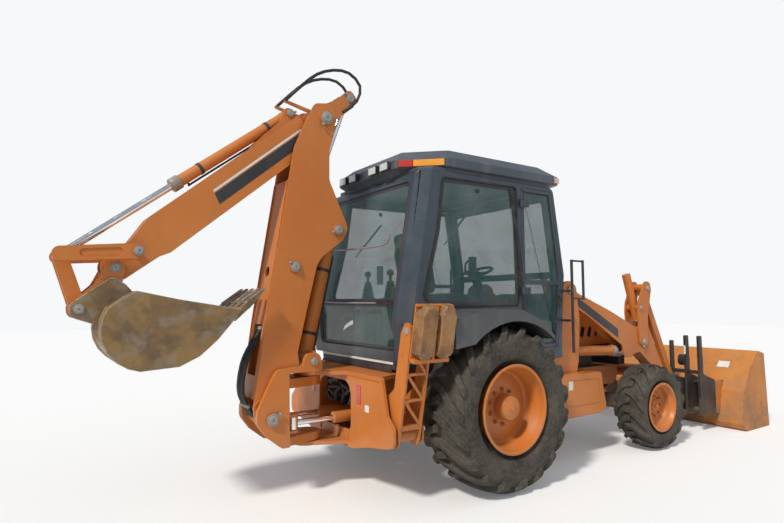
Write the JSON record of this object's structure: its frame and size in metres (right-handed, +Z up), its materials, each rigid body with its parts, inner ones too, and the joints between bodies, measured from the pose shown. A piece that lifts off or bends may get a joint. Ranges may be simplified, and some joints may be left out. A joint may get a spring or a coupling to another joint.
{
  "type": "backhoe loader",
  "caption": "Backhoe loader with an enclosed cab, a front bucket on lifting arms, a folding boom with a sliding dipper, stabilizers and steered front wheels.",
  "frame": {"origin": "middle of the bounding box at ground level, under the machine", "axes": "+X forward to the loader bucket, +Y to the left, +Z up"},
  "size_m": [7.256, 2.3516, 3.448],
  "materials": {
    "orange_paint": "worn gloss",
    "dark_paint": "satin",
    "black_plastic": "matte",
    "black_paint": "worn satin",
    "cylinder_rod": "polished",
    "window": "clear",
    "tyre": "dusty",
    "bucket_ochre": "rusty",
    "hose": "satin",
    "seat_cover": "woven",
    "lamp": "clear",
    "cast_iron": "oily",
    "moulding": "matte"
  },
  "bodies": {
    "machine": {"chassis": "orange_paint", "engine": "cast_iron", "axles": "cast_iron", "cab_shell": "dark_paint", "cab_roof": "dark_paint", "cab_glass": "window", "fenders": "moulding", "seat": "seat_cover", "controls": "black_plastic", "lamps": "lamp", "handrails": "black_paint", "swing_barrels": "orange_paint"},
    "hood": {"hood": "orange_paint", "grille": "black_plastic"},
    "door_right": {"door_r": "dark_paint"},
    "door_left": {"door_l": "dark_paint"},
    "knuckle_right": {"knuckle_r": "orange_paint"},
    "knuckle_left": {"knuckle_l": "orange_paint"},
    "rear_wheel_right": {"rear_wheel_r": "tyre"},
    "rear_wheel_left": {"rear_wheel_l": "tyre"},
    "front_wheel_right": {"front_wheel_r": "tyre"},
    "front_wheel_left": {"front_wheel_l": "tyre"},
    "swing_frame": {"swing_tower": "orange_paint"},
    "swing_rod_right": {"swing_rod_r": "cylinder_rod"},
    "swing_rod_left": {"swing_rod_l": "cylinder_rod"},
    "boom": {"boom": "orange_paint", "boom_hoses": "hose"},
    "boom_cylinder": {"boom_barrel": "orange_paint"},
    "boom_piston": {"boom_rod": "cylinder_rod"},
    "dipper_beam": {"dipper_base": "orange_paint", "dipper_hoses": "hose"},
    "dipper_cylinder": {"dipper_barrel": "orange_paint"},
    "dipper_piston": {"dipper_rod": "cylinder_rod"},
    "dipper_box": {"dipper": "orange_paint"},
    "hoe_cylinder": {"bucket_barrel": "orange_paint"},
    "hoe_piston": {"bucket_rod": "cylinder_rod"},
    "guide_links": {"guide_link": "orange_paint"},
    "tip_links": {"tip_link": "orange_paint"},
    "digging_bucket": {"hoe_coupler": "orange_paint", "hoe_bucket": "bucket_ochre"},
    "stabilizer_right": {"stabilizer_r": "orange_paint"},
    "stabilizer_left": {"stabilizer_l": "orange_paint"},
    "pad_right": {"stabilizer_pad_r": "orange_paint"},
    "pad_left": {"stabilizer_pad_l": "orange_paint"},
    "stabilizer_cylinder_right": {"stabilizer_barrel_r": "orange_paint"},
    "stabilizer_cylinder_left": {"stabilizer_barrel_l": "orange_paint"},
    "stabilizer_piston_right": {"stabilizer_rod_r": "cylinder_rod"},
    "stabilizer_piston_left": {"stabilizer_rod_l": "cylinder_rod"},
    "loader_arms": {"loader_arms": "orange_paint"},
    "lift_cylinders": {"lift_barrels": "orange_paint"},
    "lift_pistons": {"lift_rods": "cylinder_rod"},
    "bellcranks": {"bellcranks": "orange_paint"},
    "tilt_links": {"tilt_links": "orange_paint"},
    "tilt_cylinders": {"tilt_barrels": "orange_paint"},
    "tilt_pistons": {"tilt_rods": "cylinder_rod"},
    "loader_bucket": {"loader_coupler": "black_paint", "loader_bucket": "orange_paint"}
  },
  "joints": [
    {"name": "hood_hinge", "type": "hinge", "parent": "machine", "child": "hood", "pos_m": [0.675, 0, 1.5], "axis": [0, -1, 0], "range_deg": [0, 60]},
    {"name": "door_right_hinge", "type": "hinge", "parent": "machine", "child": "door_right", "pos_m": [-0.143, -0.768, 1.5], "axis": [0, 0, -1], "range_deg": [0, 80]},
    {"name": "door_left_hinge", "type": "hinge", "parent": "machine", "child": "door_left", "pos_m": [-0.143, 0.768, 1.5], "axis": [0, 0, 1], "range_deg": [0, 80]},
    {"name": "steer_right", "type": "hinge", "parent": "machine", "child": "knuckle_right", "pos_m": [1.583, -0.7, 0.415], "axis": [0, 0, 1], "range_deg": [-35, 35]},
    {"name": "steer_left", "type": "hinge", "parent": "machine", "child": "knuckle_left", "pos_m": [1.583, 0.7, 0.415], "axis": [0, 0, 1], "range_deg": [-35, 35]},
    {"name": "rear_wheel_right_spin", "type": "hinge", "parent": "machine", "child": "rear_wheel_right", "pos_m": [-0.587, -0.86, 0.65], "axis": [0, 1, 0], "continuous": true},
    {"name": "rear_wheel_left_spin", "type": "hinge", "parent": "machine", "child": "rear_wheel_left", "pos_m": [-0.587, 0.86, 0.65], "axis": [0, 1, 0], "continuous": true},
    {"name": "front_wheel_right_spin", "type": "hinge", "parent": "knuckle_right", "child": "front_wheel_right", "pos_m": [1.583, -0.85, 0.415], "axis": [0, 1, 0], "continuous": true},
    {"name": "front_wheel_left_spin", "type": "hinge", "parent": "knuckle_left", "child": "front_wheel_left", "pos_m": [1.583, 0.85, 0.415], "axis": [0, 1, 0], "continuous": true},
    {"name": "swing", "type": "hinge", "parent": "machine", "child": "swing_frame", "pos_m": [-1.837, 0, 0.6], "axis": [0, 0, 1], "range_deg": [-90, 90]},
    {"name": "swing_rod_right_slide", "type": "slide", "parent": "machine", "child": "swing_rod_right", "axis": [1, 0, 0], "range_m": [-0.2, 0.2]},
    {"name": "swing_rod_left_slide", "type": "slide", "parent": "machine", "child": "swing_rod_left", "axis": [1, 0, 0], "range_m": [-0.2, 0.2]},
    {"name": "boom_lower", "type": "hinge", "parent": "swing_frame", "child": "boom", "pos_m": [-2.207, 0, 0.615], "axis": [0, -1, 0], "range_deg": [0, 110]},
    {"name": "boom_cylinder_turn", "type": "hinge", "parent": "swing_frame", "child": "boom_cylinder", "pos_m": [-1.872, 0, 1.02], "axis": [0, -1, 0], "range_deg": [0, 114]},
    {"name": "boom_piston_slide", "type": "slide", "parent": "boom_cylinder", "child": "boom_piston", "axis": [0.2194, 0, 0.9756], "range_m": [0, 0.86]},
    {"name": "dipper_out", "type": "hinge", "parent": "boom", "child": "dipper_beam", "pos_m": [-1.752, 0, 2.98], "axis": [0, 1, 0], "range_deg": [0, 115]},
    {"name": "dipper_cylinder_turn", "type": "hinge", "parent": "boom", "child": "dipper_cylinder", "pos_m": [-2.017, 0, 1.75], "axis": [0, 1, 0], "range_deg": [0, 3]},
    {"name": "dipper_piston_slide", "type": "slide", "parent": "dipper_cylinder", "child": "dipper_piston", "axis": [0.3374, 0, 0.9414], "range_m": [-0.592, 0]},
    {"name": "dipper_extend", "type": "slide", "parent": "dipper_beam", "child": "dipper_box", "axis": [-0.766, 0, -0.6428], "range_m": [0, 1.07]},
    {"name": "digging_bucket_open", "type": "hinge", "parent": "dipper_box", "child": "digging_bucket", "pos_m": [-3.26647, 0, 1.70921], "axis": [0, 1, 0], "range_deg": [0, 130]},
    {"name": "hoe_cylinder_turn", "type": "hinge", "parent": "dipper_box", "child": "hoe_cylinder", "pos_m": [-2.037, 0, 2.99], "axis": [0, 1, 0], "range_deg": [0, 1.2]},
    {"name": "hoe_piston_slide", "type": "slide", "parent": "hoe_cylinder", "child": "hoe_piston", "axis": [-0.7885, 0, -0.615], "range_m": [-0.705, 0]},
    {"name": "guide_link_turn", "type": "hinge", "parent": "dipper_box", "child": "guide_links", "pos_m": [-3.15174, 0, 1.81984], "axis": [0, 1, 0], "range_deg": [0, 110]},
    {"name": "tip_link_turn", "type": "hinge", "parent": "digging_bucket", "child": "tip_links", "pos_m": [-3.467, 0, 1.44], "axis": [0, 1, 0], "range_deg": [-56, 0]},
    {"name": "stabilizer_right_lower", "type": "hinge", "parent": "machine", "child": "stabilizer_right", "pos_m": [-1.442, -0.8, 0.52], "axis": [1, 0, 0], "range_deg": [0, 113]},
    {"name": "pad_right_turn", "type": "hinge", "parent": "stabilizer_right", "child": "pad_right", "pos_m": [-1.442, -0.96594, 1.27197], "axis": [-1, 0, 0], "range_deg": [0, 45]},
    {"name": "stabilizer_cylinder_right_turn", "type": "hinge", "parent": "machine", "child": "stabilizer_cylinder_right", "pos_m": [-1.442, -0.18, 0.862], "axis": [1, 0, 0], "range_deg": [0, 9]},
    {"name": "stabilizer_piston_right_slide", "type": "slide", "parent": "stabilizer_cylinder_right", "child": "stabilizer_piston_right", "axis": [0, -0.9675, -0.2529], "range_m": [0, 0.342]},
    {"name": "stabilizer_left_lower", "type": "hinge", "parent": "machine", "child": "stabilizer_left", "pos_m": [-1.442, 0.8, 0.52], "axis": [-1, 0, 0], "range_deg": [0, 113]},
    {"name": "pad_left_turn", "type": "hinge", "parent": "stabilizer_left", "child": "pad_left", "pos_m": [-1.442, 0.96594, 1.27197], "axis": [1, 0, 0], "range_deg": [0, 45]},
    {"name": "stabilizer_cylinder_left_turn", "type": "hinge", "parent": "machine", "child": "stabilizer_cylinder_left", "pos_m": [-1.442, 0.18, 0.862], "axis": [-1, 0, 0], "range_deg": [0, 9]},
    {"name": "stabilizer_piston_left_slide", "type": "slide", "parent": "stabilizer_cylinder_left", "child": "stabilizer_piston_left", "axis": [0, 0.9675, -0.2529], "range_m": [0, 0.342]},
    {"name": "lift", "type": "hinge", "parent": "machine", "child": "loader_arms", "pos_m": [0.613, 0, 1.58], "axis": [0, -1, 0], "range_deg": [-3, 82]},
    {"name": "lift_cylinder_turn", "type": "hinge", "parent": "machine", "child": "lift_cylinders", "pos_m": [0.453, 0, 1], "axis": [0, -1, 0], "range_deg": [-2.3, 60.1]},
    {"name": "lift_piston_slide", "type": "slide", "parent": "lift_cylinders", "child": "lift_pistons", "axis": [0.999, 0, -0.045], "range_m": [-0.022, 0.592]},
    {"name": "tilt", "type": "hinge", "parent": "loader_arms", "child": "loader_bucket", "pos_m": [2.313, 0, 0.4], "axis": [0, -1, 0], "range_deg": [-90, 45]},
    {"name": "bellcrank_turn", "type": "hinge", "parent": "loader_arms", "child": "bellcranks", "pos_m": [1.843, 0, 1.03], "axis": [0, -1, 0], "range_deg": [-45.1, 22.6]},
    {"name": "tilt_link_turn", "type": "hinge", "parent": "bellcranks", "child": "tilt_links", "pos_m": [1.943, 0, 1.615], "axis": [0, -1, 0], "range_deg": [-14, 28]},
    {"name": "tilt_cylinder_turn", "type": "hinge", "parent": "bellcranks", "child": "tilt_cylinders", "pos_m": [1.803, 0, 1.4], "axis": [0, -1, 0], "range_deg": [-10.9, 5.5]},
    {"name": "tilt_piston_slide", "type": "slide", "parent": "tilt_cylinders", "child": "tilt_pistons", "axis": [0.3232, 0, -0.9463], "range_m": [-0.048, 0.024]}
  ],
  "couplings": [
    {"joint": "steer_left", "follows": "steer_right", "ratio": 1},
    {"joint": "swing_rod_right_slide", "follows": "swing", "m_per_rad": 0.127},
    {"joint": "swing_rod_left_slide", "follows": "swing", "m_per_rad": -0.127},
    {"joint": "boom_cylinder_turn", "follows": "boom_lower", "ratio": 1.033},
    {"joint": "boom_piston_slide", "follows": "boom_lower", "m_per_rad": 0.446},
    {"joint": "dipper_cylinder_turn", "follows": "dipper_out", "ratio": 0.0226},
    {"joint": "dipper_piston_slide", "follows": "dipper_out", "m_per_rad": -0.2935},
    {"joint": "hoe_cylinder_turn", "follows": "digging_bucket_open", "ratio": 0.0085},
    {"joint": "hoe_piston_slide", "follows": "digging_bucket_open", "m_per_rad": -0.31},
    {"joint": "guide_link_turn", "follows": "digging_bucket_open", "ratio": 0.841},
    {"joint": "tip_link_turn", "follows": "digging_bucket_open", "ratio": -0.425},
    {"joint": "stabilizer_cylinder_right_turn", "follows": "stabilizer_right_lower", "ratio": 0.0747},
    {"joint": "stabilizer_piston_right_slide", "follows": "stabilizer_right_lower", "m_per_rad": 0.1702},
    {"joint": "stabilizer_cylinder_left_turn", "follows": "stabilizer_left_lower", "ratio": 0.0747},
    {"joint": "stabilizer_piston_left_slide", "follows": "stabilizer_left_lower", "m_per_rad": 0.1702},
    {"joint": "lift_cylinder_turn", "follows": "lift", "ratio": 0.732},
    {"joint": "lift_piston_slide", "follows": "lift", "m_per_rad": 0.412},
    {"joint": "bellcrank_turn", "follows": "tilt", "ratio": 0.5},
    {"joint": "tilt_link_turn", "follows": "tilt", "ratio": -0.31},
    {"joint": "tilt_cylinder_turn", "follows": "tilt", "ratio": 0.12},
    {"joint": "tilt_piston_slide", "follows": "tilt", "m_per_rad": 0.03}
  ]
}
